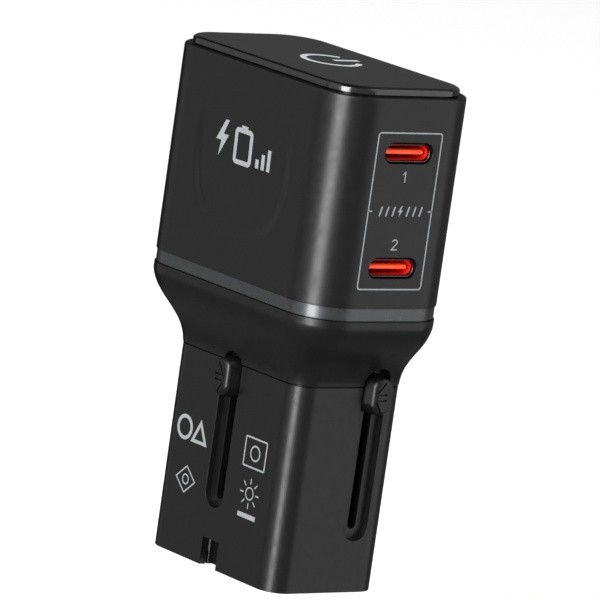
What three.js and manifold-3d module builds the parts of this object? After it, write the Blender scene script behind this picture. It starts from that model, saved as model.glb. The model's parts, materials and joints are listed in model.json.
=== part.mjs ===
// Travel wall charger: a head with two USB-C ports on a narrower stem, from which two sets of
// mains pins slide out. Millimetres, +Z up. The wide front face looks along -Y and the port
// face along +X. The origin is under the middle of the head, on the end face of the stem.

import * as THREE from 'three';
import { mergeVertices } from 'three/addons/utils/BufferGeometryUtils.js';
import Module from 'manifold-3d';

const wasm = await Module();
wasm.setup();

// Driving dimensions.
const GAP = 0.3; // between neighbouring pieces
const CORNER_STEPS = 6; // facets in a quarter turn
const ROUND_SIDES = 20; // of rods and turned pieces
const REACH = 8; // how far a cutter runs past the skin it cuts
const OVERRUN = 1; // how far a bore runs past the ends of what it goes through
const JOIN = 0.2; // how far two shapes that are joined run into each other
const LEAST_RADIUS = 0.8; // of an inner corner

const HEAD = { width: 46.9, depth: 27.4, radius: 7.5, wall: 1.6 };
const STEM = { width: 33.1, depth: 21.3, radius: 3.7, wall: 1.2, centreY: 1.5 };
const STEM_FRONT_Y = STEM.centreY - STEM.depth / 2;
const STEM_SIDE_X = STEM.width / 2;

const SEAM_Z = 32.95; // the sleeve meets the neck
const BAND_LOW_Z = 44.98; // the neck meets the accent band
const BAND_HIGH_Z = 46.94; // the accent band meets the head shell
const RIM_Z = 79.8; // upper rim of the head shell

const BAND = { inset: 0.2, wall: 1.4 };
const COVER = { inset: 1.25, thickness: 1.1, skirtDrop: 2.5, skirtWall: 1.2 };
const NECK = { wall: 2.4, shoulderZ: 43.8, footZ: 30.8, upperPower: 1.36, lowerPower: 2.48 };
const COLLAR = { lowZ: 43, highZ: 49, wall: 1.2 };
const SPIGOT = { lowZ: 29.5, highZ: 34.5, wall: 1.2 };

// Thumb tracks: a shallow groove with a narrow slit through its floor.
const TRACK = { grooveDepth: 1.1, slitWidth: 1.6, floor: 1.0, padWidth: 6.4, padDrop: 1 };
const FRONT_TRACK = { centre: -0.76, width: 4.85, lowZ: 9.5, highZ: 34.6, slitLowZ: 10.8 };
const SIDE_TRACK = { centre: 5.77, width: 4.75, lowZ: 8.25, highZ: 36.05, slitLowZ: 10 };
const KNOB = { width: 4.2, height: 6.5, proud: 2.1, postWidth: 0.85 };
const FRONT_TRAVEL = 17.2; // of the front slider; the side slider travels 19.2
const FRONT_KNOB = { centreZ: 30.55, postLowZ: 28.9, postHighZ: 32.1 };
const SIDE_KNOB = { centreZ: 31.8, postLowZ: 29.55, postHighZ: 32.35 };
const NOTCH = { lowX: -2.2, highX: 2.0, height: 4.5, depth: 2.5 };
const NOTCH_BOSS = { sideWall: 1.8, backWall: 1.0, height: 6.0 };

// Mains contacts, drawn in.
const TIP_Z = 0.4; // ends of the pins and blades above the end face
const BLADE = { spacing: 12.7, thickness: 1.5, width: 6.35, nose: 1.2, centreY: -2.45, topZ: 32.2 };
const PIN = { spacing: 19, radius: 2, coreRadius: 1.4, centreY: 6, nose: 1.4, tipTopZ: 9, topZ: 32.1 };
const PIN_SLEEVE = { radius: 1.9, bore: 1.65, lowZ: 9.3, highZ: 21.9 };
const CARRIER_HALF_WIDTH = 11.4;
const BLADE_CARRIER = { lowY: -6.0, highY: 1.1, lowZ: 20.2, highZ: 32.2 };
const PIN_CARRIER = { lowY: 3.6, highY: 8.6, lowZ: 22.2, highZ: 32.4 };
const WIPER = { thickness: 0.45, reach: 12.3, fingerLength: 5.5 };
const BLADE_WIPER = { lowY: -3.6, highY: -1.6, innerX: 6.0 };
const PIN_WIPER = { lowY: 3.5, highY: 4.5, innerX: 8.4 };
const RAIL = { innerX: 12.7, thickness: 0.5, lowY: -4.5, highY: 4.6, lowZ: 4, highZ: 40.7 };
const DIVIDER = { halfWidth: 12.3, lowY: 1.5, highY: 3.2, lowZ: 2.5, highZ: 38 };
const DETENT = { lowZ: 18, highZ: 31, x: 11.8, bow: 0.225, thickness: 0.25 };
const FRONT_DETENT_Y = [-6, -5];
const SIDE_DETENT_Y = [5.2, 7.2];
const END_PLATE_TOP_Z = 2.2;

// Ports.
const PORT = { middleZ: 62.35, halfPitch: 9, width: 9.4, height: 3.3 };
const PORT_SHELL = { width: 9.0, height: 2.9, wall: 0.25, backX: 15.3, mouthX: 23.1 };
const PORT_BASE = { width: 8.2, height: 2.1, frontX: 16.9 };
const PORT_TONGUE = { width: 7.4, thickness: 0.75, backX: 17.2, frontX: 22.3 };

// Transformer, about its own centre. Its turned parts go by radius and half length.
const TRANSFORMER = { place: [-3.5, -1.5, 63], width: 18, depth: 11, height: 17 };
const CORE = { windowRadius: 7.1, postRadius: 3, play: 0.4 };
const BOBBIN = { bore: 3.4, tube: 4.1, flange: 6.9, halfLength: 5.2, flangeThickness: 0.7 };
const WINDING = { inner: 4.4, outer: 6.6, halfLength: 4.2 };

// Boards, chips and other blocks: lowest and highest X, then Y, then Z.
const PORT_BOARD = [13.7, 14.9, -8, 8, 49.5, 77];
const MAIN_BOARD = [-19, 12.8, 7.4, 8.6, 43, 77];
const BRIDGE_RECTIFIER = [-11, -3, 5.4, 7.1, 44, 50];
const SWITCH_CHIP = [6.2, 12, 6.1, 7.1, 50, 56];
const CONTROLLER_CHIP = [12.4, 13.4, -2.5, 2.5, 60, 65];
const FILTER_CAPACITOR = [7, 18, -8, -2, 42.6, 48.6];
const THERMAL_PAD = [3, 12, 8.9, 9.6, 53, 61];
const HEAT_SPREADER = [-15, 12, 9.9, 10.7, 51.5, 76];
const INSULATING_SHEET = [-15.5, 15.5, 11.1, 11.5, 50, 77];

// Round and shaped circuit parts.
const INPUT_BOARD = { width: 36, depth: 18, radius: 3, centreY: 0.3, lowZ: 41, highZ: 42.2 };
const FUSE = { radius: 1.8, halfLength: 5, place: [0, -5, 44.4] };
const CHOKE = { bore: 2.4, radius: 5.4, halfHeight: 2.4, place: [-13.5, -1, 45] };
const SAFETY_CAPACITOR = { radius: 3.4, halfThickness: 1.2, place: [2, 4.2, 46.2] };
const BULK_CAPACITOR = {
  radius: 4.2,
  height: 20,
  frontPlace: [-17, -6.3, 50],
  backPlace: [-17, 2.7, 50],
};
const OUTPUT_CAPACITOR = {
  radius: 3.1,
  height: 9,
  lowerPlace: [9.8, -7.6, 50],
  upperPlace: [9.8, -7.6, 62],
};
const CAN_GROOVE = { waist: 0.92, low: 0.1, middle: 0.14, high: 0.18 }; // shares of the can's size
const LEAD = { x: 1.8, radius: 0.65, sides: 8, steps: 24 };
const LEAD_PATH_YZ = [[-8.5, 42.8], [-9.4, 48], [-9.4, 60], [-9, 71], [-4, 75], [6.9, 75]];

const FINISHES = {
  casing: { color: 0x2d2d2e, roughness: 0.5, metalness: 0 },
  cover: { color: 0x303031, roughness: 0.2, metalness: 0 },
  accent: { color: 0x515254, roughness: 0.45, metalness: 0 },
  knob: { color: 0x262627, roughness: 0.45, metalness: 0 },
  carrier: { color: 0x3a3a3c, roughness: 0.6, metalness: 0 },
  contact: { color: 0xc9c6be, roughness: 0.25, metalness: 1 },
  bronze: { color: 0xb5834a, roughness: 0.35, metalness: 1 },
  steel: { color: 0xb8babd, roughness: 0.3, metalness: 1 },
  tongue: { color: 0xf0441c, roughness: 0.4, metalness: 0 },
  board: { color: 0x1f5a38, roughness: 0.5, metalness: 0 },
  ferrite: { color: 0x2b2b2d, roughness: 0.75, metalness: 0 },
  tape: { color: 0xd9b43a, roughness: 0.5, metalness: 0 },
  moulding: { color: 0x17181a, roughness: 0.5, metalness: 0 },
  can: { color: 0x2a3a63, roughness: 0.35, metalness: 0 },
  aluminium: { color: 0xc2c5c9, roughness: 0.4, metalness: 1 },
  ceramic: { color: 0x3f6fb0, roughness: 0.5, metalness: 0 },
  silicone: { color: 0x8fa3b0, roughness: 0.8, metalness: 0 },
  sheet: { color: 0xe6e2d0, roughness: 0.5, metalness: 0 },
  wire: { color: 0xb02a25, roughness: 0.5, metalness: 0 },
};

// Joins coincident vertices and drops the empty triangles that this leaves on an axis.
function solid(geometry) {
  geometry.deleteAttribute('normal');
  geometry.deleteAttribute('uv');
  const merged = mergeVertices(geometry);
  const corners = merged.getIndex().array;
  const triangles = [];
  for (let i = 0; i < corners.length; i += 3) {
    const [a, b, c] = corners.slice(i, i + 3);
    if (a !== b && b !== c && c !== a) {
      triangles.push(a, b, c);
    }
  }
  return new wasm.Manifold(new wasm.Mesh({
    numProp: 3,
    vertProperties: new Float32Array(merged.getAttribute('position').array),
    triVerts: new Uint32Array(triangles),
  }));
}

function piece(name, shape, finish, position = [0, 0, 0]) {
  const { vertProperties, triVerts } = shape.getMesh();
  const geometry = new THREE.BufferGeometry();
  geometry.setAttribute('position', new THREE.BufferAttribute(vertProperties, 3));
  geometry.setIndex(new THREE.BufferAttribute(triVerts, 1));
  const mesh = new THREE.Mesh(geometry, new THREE.MeshStandardMaterial(FINISHES[finish]));
  mesh.name = name;
  mesh.position.set(...position);
  return mesh;
}

// A rounded rectangle, anticlockwise. A radius of half the height makes a stadium.
function outline(width, height, radius, centreX = 0, centreY = 0) {
  const points = [];
  [[1, -1], [1, 1], [-1, 1], [-1, -1]].forEach(([sideX, sideY], corner) => {
    for (let step = 0; step <= CORNER_STEPS; step += 1) {
      const angle = (corner - 1 + step / CORNER_STEPS) * Math.PI / 2;
      points.push(new THREE.Vector2(
        centreX + sideX * (width / 2 - radius) + radius * Math.cos(angle),
        centreY + sideY * (height / 2 - radius) + radius * Math.sin(angle),
      ));
    }
  });
  const isNew = (point, i) => point.distanceTo(points[(i + 1) % points.length]) > 1e-6;
  return points.filter(isNew);
}

function headOutline(inset) {
  return outline(HEAD.width - 2 * inset, HEAD.depth - 2 * inset, HEAD.radius - inset);
}

function stemOutline(inset) {
  const radius = Math.max(STEM.radius - inset, LEAST_RADIUS);
  return outline(STEM.width - 2 * inset, STEM.depth - 2 * inset, radius, 0, STEM.centreY);
}

// Prisms along each axis, from outlines given in the other two axes.
function extrude(points, length) {
  return new THREE.ExtrudeGeometry(new THREE.Shape(points), { depth: length, bevelEnabled: false });
}

function prismZ(points, low, high) {
  return solid(extrude(points, high - low).translate(0, 0, low));
}

function prismX(pointsYZ, low, high) {
  const turn = new THREE.Matrix4().makeBasis(
    new THREE.Vector3(0, 1, 0),
    new THREE.Vector3(0, 0, 1),
    new THREE.Vector3(1, 0, 0),
  );
  return solid(extrude(pointsYZ, high - low).applyMatrix4(turn).translate(low, 0, 0));
}

function prismY(pointsXZ, low, high) {
  const turn = new THREE.Matrix4().makeRotationX(Math.PI / 2);
  return solid(extrude(pointsXZ, high - low).applyMatrix4(turn).translate(0, high, 0));
}

function block(lowX, highX, lowY, highY, lowZ, highZ) {
  const geometry = new THREE.BoxGeometry(highX - lowX, highY - lowY, highZ - lowZ);
  return solid(geometry.translate((lowX + highX) / 2, (lowY + highY) / 2, (lowZ + highZ) / 2));
}

function rod(radius, lowZ, highZ) {
  const geometry = new THREE.CylinderGeometry(radius, radius, highZ - lowZ, ROUND_SIDES);
  return solid(geometry.rotateX(Math.PI / 2).translate(0, 0, (lowZ + highZ) / 2));
}

// Turns a profile of [radius, z] points, from the foot upwards, about the Z axis.
function turned(profile) {
  const points = profile.map(([radius, z]) => new THREE.Vector2(radius, z));
  return solid(new THREE.LatheGeometry(points, ROUND_SIDES).rotateX(Math.PI / 2));
}

function ring(makeOutline, outerInset, wall, low, high) {
  const bore = prismZ(makeOutline(outerInset + wall), low - OVERRUN, high + OVERRUN);
  return prismZ(makeOutline(outerInset), low, high).subtract(bore);
}

// Joins outlines of equal point counts, listed upwards as { points, z }.
function loft(levels) {
  const count = levels[0].points.length;
  const positions = levels.flatMap(({ points, z }) => points.flatMap(({ x, y }) => [x, y, z]));
  const faces = [];
  for (let level = 0; level < levels.length - 1; level += 1) {
    for (let i = 0; i < count; i += 1) {
      const here = level * count + i;
      const next = level * count + (i + 1) % count;
      faces.push(here, next, next + count, here, next + count, here + count);
    }
  }
  const top = (levels.length - 1) * count;
  for (let i = 1; i < count - 1; i += 1) {
    faces.push(0, i + 1, i, top, top + i, top + i + 1);
  }
  const geometry = new THREE.BufferGeometry();
  geometry.setAttribute('position', new THREE.Float32BufferAttribute(positions, 3));
  geometry.setIndex(faces);
  return solid(geometry);
}

// Thumb tracks. Each cutter is shared by the sleeve and the neck.
function stadiumBetween(track, width, lowZ, highZ) {
  return outline(width, highZ - lowZ, width / 2, track.centre, (lowZ + highZ) / 2);
}

function frontTrackCut() {
  const { width, lowZ, highZ, slitLowZ } = FRONT_TRACK;
  const groove = stadiumBetween(FRONT_TRACK, width, lowZ, highZ);
  const slit = stadiumBetween(FRONT_TRACK, TRACK.slitWidth, slitLowZ, SEAM_Z + GAP);
  const floorY = STEM_FRONT_Y + TRACK.grooveDepth;
  return prismY(groove, STEM_FRONT_Y - REACH, floorY)
    .add(prismY(slit, STEM_FRONT_Y, floorY + REACH / 2));
}

function sideTrackCut() {
  const { width, lowZ, highZ, slitLowZ } = SIDE_TRACK;
  const groove = stadiumBetween(SIDE_TRACK, width, lowZ, highZ);
  const slit = stadiumBetween(SIDE_TRACK, TRACK.slitWidth, slitLowZ, SEAM_Z + GAP);
  const floorX = STEM_SIDE_X - TRACK.grooveDepth;
  return prismX(groove, floorX, STEM_SIDE_X + REACH)
    .add(prismX(slit, floorX - REACH / 2, STEM_SIDE_X));
}

// Thickened wall behind each track, which carries the groove's floor.
function trackPads(margin, lowZ, highZ) {
  const half = TRACK.padWidth / 2 + margin;
  const depth = TRACK.grooveDepth + TRACK.floor + margin;
  const front = block(
    FRONT_TRACK.centre - half,
    FRONT_TRACK.centre + half,
    STEM_FRONT_Y + STEM.wall - JOIN,
    STEM_FRONT_Y + depth,
    lowZ,
    highZ,
  );
  const side = block(
    STEM_SIDE_X - depth,
    STEM_SIDE_X - STEM.wall + JOIN,
    SIDE_TRACK.centre - half,
    SIDE_TRACK.centre + half,
    lowZ,
    highZ,
  );
  return front.add(side);
}

function notchCut() {
  return block(
    NOTCH.lowX,
    NOTCH.highX,
    STEM_FRONT_Y - OVERRUN,
    STEM_FRONT_Y + NOTCH.depth,
    -OVERRUN,
    NOTCH.height,
  );
}

// Casing.
function topCover() {
  const plateLow = RIM_Z + GAP;
  const skirtInset = HEAD.wall + GAP;
  const plate = prismZ(headOutline(COVER.inset), plateLow, plateLow + COVER.thickness);
  const skirtLow = plateLow - COVER.skirtDrop;
  const skirt = ring(headOutline, skirtInset, COVER.skirtWall, skirtLow, plateLow + JOIN);
  return plate.add(skirt);
}

function headShell() {
  let shell = ring(headOutline, 0, HEAD.wall, BAND_HIGH_Z + GAP / 2, RIM_Z);
  for (const side of [-1, 1]) {
    const centreZ = PORT.middleZ + side * PORT.halfPitch;
    const mouth = outline(PORT.width, PORT.height, PORT.height / 2, 0, centreZ);
    const innerX = HEAD.width / 2 - HEAD.wall - OVERRUN;
    shell = shell.subtract(prismX(mouth, innerX, HEAD.width / 2 + OVERRUN));
  }
  return shell;
}

function accentBand() {
  return ring(headOutline, BAND.inset, BAND.wall, BAND_LOW_Z + GAP / 2, BAND_HIGH_Z - GAP / 2);
}

// Share of the way from the head's outline to the stem's at a height in the neck's S-curve.
function neckShare(z) {
  const down = (NECK.shoulderZ - z) / (NECK.shoulderZ - NECK.footZ);
  const t = Math.min(Math.max(down, 0), 1);
  const upper = t ** NECK.upperPower;
  const lower = (1 - t) ** NECK.lowerPower;
  return upper / (upper + lower);
}

function neckOutline(z, inset) {
  const share = neckShare(z);
  const blend = (head, stem) => head + (stem - head) * share;
  return outline(
    blend(HEAD.width, STEM.width) - 2 * inset,
    blend(HEAD.depth, STEM.depth) - 2 * inset,
    Math.max(blend(HEAD.radius, STEM.radius) - inset, LEAST_RADIUS),
    0,
    STEM.centreY * share,
  );
}

function neckHousing() {
  const lowZ = SEAM_Z + GAP / 2;
  const highZ = BAND_LOW_Z - GAP / 2;
  const steps = 12;
  const levels = (inset, from, to) => Array.from({ length: steps + 1 }, (_, i) => {
    const z = from + (to - from) * i / steps;
    return { points: neckOutline(z, inset), z };
  });
  const cavity = loft(levels(NECK.wall, lowZ - OVERRUN / 2, highZ + OVERRUN / 2));
  const wall = loft(levels(0, lowZ, highZ)).subtract(cavity);
  const collar = ring(headOutline, HEAD.wall + GAP, COLLAR.wall, COLLAR.lowZ, COLLAR.highZ);
  const spigot = ring(stemOutline, STEM.wall + GAP, SPIGOT.wall, SPIGOT.lowZ, SPIGOT.highZ)
    .subtract(trackPads(GAP, SPIGOT.lowZ - OVERRUN, lowZ));
  return wall.add(collar).add(spigot).subtract(frontTrackCut()).subtract(sideTrackCut());
}

function stemSleeve() {
  const highZ = SEAM_Z - GAP / 2;
  return ring(stemOutline, 0, STEM.wall, 0, highZ)
    .add(trackPads(0, SIDE_TRACK.lowZ - TRACK.padDrop, highZ))
    .subtract(frontTrackCut())
    .subtract(sideTrackCut())
    .subtract(notchCut());
}

// Boss on the end plate that closes the notch off from the inside.
function notchBoss(margin) {
  return block(
    NOTCH.lowX - NOTCH_BOSS.sideWall - margin,
    NOTCH.highX + NOTCH_BOSS.sideWall + margin,
    STEM_FRONT_Y + STEM.wall + GAP - margin,
    STEM_FRONT_Y + NOTCH.depth + NOTCH_BOSS.backWall + margin,
    0,
    NOTCH_BOSS.height + margin,
  );
}

function endPlate() {
  let plate = prismZ(stemOutline(STEM.wall + GAP), 0, END_PLATE_TOP_Z)
    .add(notchBoss(0))
    .subtract(notchCut());
  for (const side of [-1, 1]) {
    const bladeX = side * BLADE.spacing / 2;
    const bladeHole = block(
      bladeX - BLADE.thickness / 2 - GAP,
      bladeX + BLADE.thickness / 2 + GAP,
      BLADE.centreY - BLADE.width / 2 - GAP,
      BLADE.centreY + BLADE.width / 2 + GAP,
      -OVERRUN,
      END_PLATE_TOP_Z + OVERRUN,
    );
    const pinHole = rod(PIN.radius + GAP, -OVERRUN, END_PLATE_TOP_Z + OVERRUN)
      .translate([side * PIN.spacing / 2, PIN.centreY, 0]);
    plate = plate.subtract(bladeHole).subtract(pinHole);
  }
  return plate;
}

// Sliders.
function frontKnob() {
  const { centre } = FRONT_TRACK;
  const backY = STEM_FRONT_Y + TRACK.grooveDepth - GAP;
  const face = outline(KNOB.width, KNOB.height, KNOB.width / 2, centre, FRONT_KNOB.centreZ);
  const post = block(
    centre - KNOB.postWidth / 2,
    centre + KNOB.postWidth / 2,
    backY - JOIN,
    BLADE_CARRIER.lowY - GAP,
    FRONT_KNOB.postLowZ,
    FRONT_KNOB.postHighZ,
  );
  return prismY(face, STEM_FRONT_Y - KNOB.proud, backY).add(post);
}

function sideKnob() {
  const { centre } = SIDE_TRACK;
  const backX = STEM_SIDE_X - TRACK.grooveDepth + GAP;
  const face = outline(KNOB.width, KNOB.height, KNOB.width / 2, centre, SIDE_KNOB.centreZ);
  const post = block(
    CARRIER_HALF_WIDTH + GAP,
    backX + JOIN,
    centre - KNOB.postWidth / 2,
    centre + KNOB.postWidth / 2,
    SIDE_KNOB.postLowZ,
    SIDE_KNOB.postHighZ,
  );
  return prismX(face, backX, STEM_SIDE_X + KNOB.proud).add(post);
}

function carrier({ lowY, highY, lowZ, highZ }) {
  return block(-CARRIER_HALF_WIDTH, CARRIER_HALF_WIDTH, lowY, highY, lowZ, highZ);
}

function blade() {
  const half = BLADE.thickness / 2;
  const noseTopZ = TIP_Z + BLADE.nose;
  const section = [
    [-half / 2, TIP_Z],
    [half / 2, TIP_Z],
    [half, noseTopZ],
    [half, BLADE.topZ],
    [-half, BLADE.topZ],
    [-half, noseTopZ],
  ].map(([x, z]) => new THREE.Vector2(x, z));
  return prismY(section, -BLADE.width / 2, BLADE.width / 2);
}

function bladeCarrier() {
  const loweredBoss = notchBoss(GAP).translate([0, 0, FRONT_TRAVEL]);
  let body = carrier(BLADE_CARRIER).subtract(loweredBoss);
  for (const side of [-1, 1]) {
    const x = side * BLADE.spacing / 2;
    body = body.subtract(block(
      x - BLADE.thickness / 2 - GAP,
      x + BLADE.thickness / 2 + GAP,
      BLADE.centreY - BLADE.width / 2 - GAP,
      BLADE.centreY + BLADE.width / 2 + GAP,
      BLADE_CARRIER.lowZ - OVERRUN,
      BLADE_CARRIER.highZ + OVERRUN,
    ));
  }
  return body;
}

function pin() {
  const { radius, coreRadius, nose, tipTopZ, topZ } = PIN;
  const steps = 4;
  const roundNose = Array.from({ length: steps + 1 }, (_, i) => {
    const angle = i / steps * Math.PI / 2;
    return [radius * Math.sin(angle), TIP_Z + nose * (1 - Math.cos(angle))];
  });
  return turned([
    ...roundNose,
    [radius, tipTopZ],
    [coreRadius, tipTopZ],
    [coreRadius, topZ],
    [0, topZ],
  ]);
}

function pinSleeve() {
  const { radius, bore, lowZ, highZ } = PIN_SLEEVE;
  return rod(radius, lowZ, highZ).subtract(rod(bore, lowZ - OVERRUN, highZ + OVERRUN));
}

function pinCarrier() {
  let body = carrier(PIN_CARRIER);
  for (const side of [-1, 1]) {
    const { lowZ, highZ } = PIN_CARRIER;
    const hole = rod(PIN.coreRadius + GAP, lowZ - OVERRUN, highZ + OVERRUN);
    body = body.subtract(hole.translate([side * PIN.spacing / 2, PIN.centreY, 0]));
  }
  return body;
}

// Bronze strip over a carrier, with a finger turned down beside the contact rail.
function wiper(side, { lowY, highY, innerX }, lowZ) {
  const highZ = lowZ + WIPER.thickness;
  const corner = WIPER.reach - WIPER.thickness;
  const section = [
    [innerX, lowZ],
    [corner, lowZ],
    [corner, highZ - WIPER.fingerLength],
    [WIPER.reach, highZ - WIPER.fingerLength],
    [WIPER.reach, highZ],
    [innerX, highZ],
  ].map(([x, z]) => new THREE.Vector2(side * x, z));
  return prismY(side > 0 ? section : section.reverse(), lowY, highY);
}

// Leaf spring bowed towards a carrier, whose click holds the slider at each end.
function detentSpring(side, [lowY, highY]) {
  const steps = 8;
  const bowed = (i) => DETENT.x - DETENT.bow * Math.sin(Math.PI * i / steps);
  const height = (i) => DETENT.lowZ + (DETENT.highZ - DETENT.lowZ) * i / steps;
  const near = [];
  const far = [];
  for (let i = 0; i <= steps; i += 1) {
    near.push(new THREE.Vector2(side * bowed(i), height(i)));
    far.unshift(new THREE.Vector2(side * (bowed(i) + DETENT.thickness), height(i)));
  }
  const section = [...near, ...far];
  return prismY(side > 0 ? section.reverse() : section, lowY, highY);
}

function rail() {
  const half = RAIL.thickness / 2;
  return block(-half, half, RAIL.lowY, RAIL.highY, RAIL.lowZ, RAIL.highZ);
}

// Ports, centred on their own axis height.
function portShell() {
  const { width, height, wall, backX, mouthX } = PORT_SHELL;
  const bore = outline(width - 2 * wall, height - 2 * wall, height / 2 - wall);
  return prismX(outline(width, height, height / 2), backX, mouthX)
    .subtract(prismX(bore, backX - OVERRUN, mouthX + OVERRUN));
}

function portBase() {
  const { width, height, frontX } = PORT_BASE;
  return prismX(outline(width, height, height / 2), PORT_SHELL.backX, frontX);
}

function portTongue() {
  const { width, thickness, backX, frontX } = PORT_TONGUE;
  return prismX(outline(width, thickness, thickness / 3), backX, frontX);
}

// Circuit parts.
function transformerCore() {
  const { width, depth, height } = TRANSFORMER;
  const halfWindow = BOBBIN.halfLength + CORE.play;
  const halfPost = halfWindow + JOIN;
  const window = rod(CORE.windowRadius, -halfWindow, halfWindow);
  const post = rod(CORE.postRadius, -halfPost, halfPost);
  return block(-width / 2, width / 2, -depth / 2, depth / 2, -height / 2, height / 2)
    .subtract(window)
    .add(post);
}

function transformerBobbin() {
  const { bore, tube, flange, halfLength } = BOBBIN;
  const tubeEnd = halfLength - BOBBIN.flangeThickness;
  return turned([
    [bore, -halfLength],
    [flange, -halfLength],
    [flange, -tubeEnd],
    [tube, -tubeEnd],
    [tube, tubeEnd],
    [flange, tubeEnd],
    [flange, halfLength],
    [bore, halfLength],
    [bore, -halfLength],
  ]);
}

function transformerWinding() {
  const { inner, outer, halfLength } = WINDING;
  const bore = rod(inner, -halfLength - OVERRUN, halfLength + OVERRUN);
  return rod(outer, -halfLength, halfLength).subtract(bore);
}

// A can with the pinched groove near its foot.
function canCapacitor({ radius, height }) {
  const { waist, low, middle, high } = CAN_GROOVE;
  return turned([
    [0, 0],
    [radius, 0],
    [radius, height * low],
    [radius * waist, height * middle],
    [radius, height * high],
    [radius, height],
    [0, height],
  ]);
}

function choke() {
  const { bore, radius, halfHeight } = CHOKE;
  const hole = rod(bore, -halfHeight - OVERRUN, halfHeight + OVERRUN);
  return rod(radius, -halfHeight, halfHeight).subtract(hole);
}

function lead(x) {
  const path = new THREE.CatmullRomCurve3(
    LEAD_PATH_YZ.map(([y, z]) => new THREE.Vector3(x, y, z)),
  );
  const section = Array.from({ length: LEAD.sides }, (_, i) => {
    const angle = i / LEAD.sides * 2 * Math.PI;
    return new THREE.Vector2(LEAD.radius * Math.cos(angle), LEAD.radius * Math.sin(angle));
  });
  return solid(new THREE.ExtrudeGeometry(new THREE.Shape(section), {
    steps: LEAD.steps,
    extrudePath: path,
  }));
}

// Assembly.
function group(...meshes) {
  const holder = new THREE.Group();
  holder.add(...meshes);
  return holder;
}

function buildCasing() {
  return group(
    piece('top_cover', topCover(), 'cover'),
    piece('head_shell', headShell(), 'casing'),
    piece('accent_band', accentBand(), 'accent'),
    piece('neck_housing', neckHousing(), 'casing'),
    piece('stem_sleeve', stemSleeve(), 'casing'),
    piece('end_plate', endPlate(), 'casing'),
  );
}

function buildFrontSlider() {
  const slider = group(
    piece('front_knob', frontKnob(), 'knob'),
    piece('blade_carrier', bladeCarrier(), 'carrier'),
  );
  for (const [label, side] of [['left', -1], ['right', 1]]) {
    const place = [side * BLADE.spacing / 2, BLADE.centreY, 0];
    const wiperShape = wiper(side, BLADE_WIPER, BLADE_CARRIER.highZ + GAP);
    slider.add(piece(`blade_${label}`, blade(), 'contact', place));
    slider.add(piece(`blade_wiper_${label}`, wiperShape, 'bronze'));
  }
  return slider;
}

function buildSideSlider() {
  const slider = group(
    piece('side_knob', sideKnob(), 'knob'),
    piece('pin_carrier', pinCarrier(), 'carrier'),
  );
  for (const [label, side] of [['left', -1], ['right', 1]]) {
    const place = [side * PIN.spacing / 2, PIN.centreY, 0];
    const wiperShape = wiper(side, PIN_WIPER, PIN_CARRIER.highZ + GAP);
    slider.add(piece(`pin_${label}`, pin(), 'contact', place));
    slider.add(piece(`pin_sleeve_${label}`, pinSleeve(), 'moulding', place));
    slider.add(piece(`pin_wiper_${label}`, wiperShape, 'bronze'));
  }
  return slider;
}

function buildStemInterior() {
  const { halfWidth, lowY, highY, lowZ, highZ } = DIVIDER;
  const divider = block(-halfWidth, halfWidth, lowY, highY, lowZ, highZ);
  const interior = group(
    piece('guide_divider', divider, 'carrier'),
    piece('front_detent_spring', detentSpring(1, FRONT_DETENT_Y), 'steel'),
    piece('side_detent_spring', detentSpring(-1, SIDE_DETENT_Y), 'steel'),
  );
  for (const [label, side] of [['left', -1], ['right', 1]]) {
    const x = side * (RAIL.innerX + RAIL.thickness / 2);
    interior.add(piece(`contact_rail_${label}`, rail(), 'bronze', [x, 0, 0]));
  }
  return interior;
}

function buildPorts() {
  const ports = group(piece('port_board', block(...PORT_BOARD), 'board'));
  for (const [label, side] of [['lower', -1], ['upper', 1]]) {
    const place = [0, 0, PORT.middleZ + side * PORT.halfPitch];
    ports.add(piece(`port_shell_${label}`, portShell(), 'steel', place));
    ports.add(piece(`port_base_${label}`, portBase(), 'moulding', place));
    ports.add(piece(`port_tongue_${label}`, portTongue(), 'tongue', place));
  }
  return ports;
}

function buildTransformer() {
  const transformer = group(
    piece('transformer_core', transformerCore(), 'ferrite'),
    piece('transformer_bobbin', transformerBobbin(), 'moulding'),
    piece('transformer_winding', transformerWinding(), 'tape'),
  );
  transformer.position.set(...TRANSFORMER.place);
  return transformer;
}

function buildInputStage() {
  const { width, depth, radius, centreY, lowZ, highZ } = INPUT_BOARD;
  const board = prismZ(outline(width, depth, radius, 0, centreY), lowZ, highZ);
  const fuse = rod(FUSE.radius, -FUSE.halfLength, FUSE.halfLength).rotate([0, 90, 0]);
  const halfDisc = SAFETY_CAPACITOR.halfThickness;
  const disc = rod(SAFETY_CAPACITOR.radius, -halfDisc, halfDisc).rotate([90, 0, 0]);
  return group(
    piece('input_board', board, 'board'),
    piece('fuse', fuse, 'moulding', FUSE.place),
    piece('choke', choke(), 'bronze', CHOKE.place),
    piece('filter_capacitor', block(...FILTER_CAPACITOR), 'tape'),
    piece('safety_capacitor', disc, 'ceramic', SAFETY_CAPACITOR.place),
    piece('lead_left', lead(-LEAD.x), 'wire'),
    piece('lead_right', lead(LEAD.x), 'wire'),
  );
}

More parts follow.
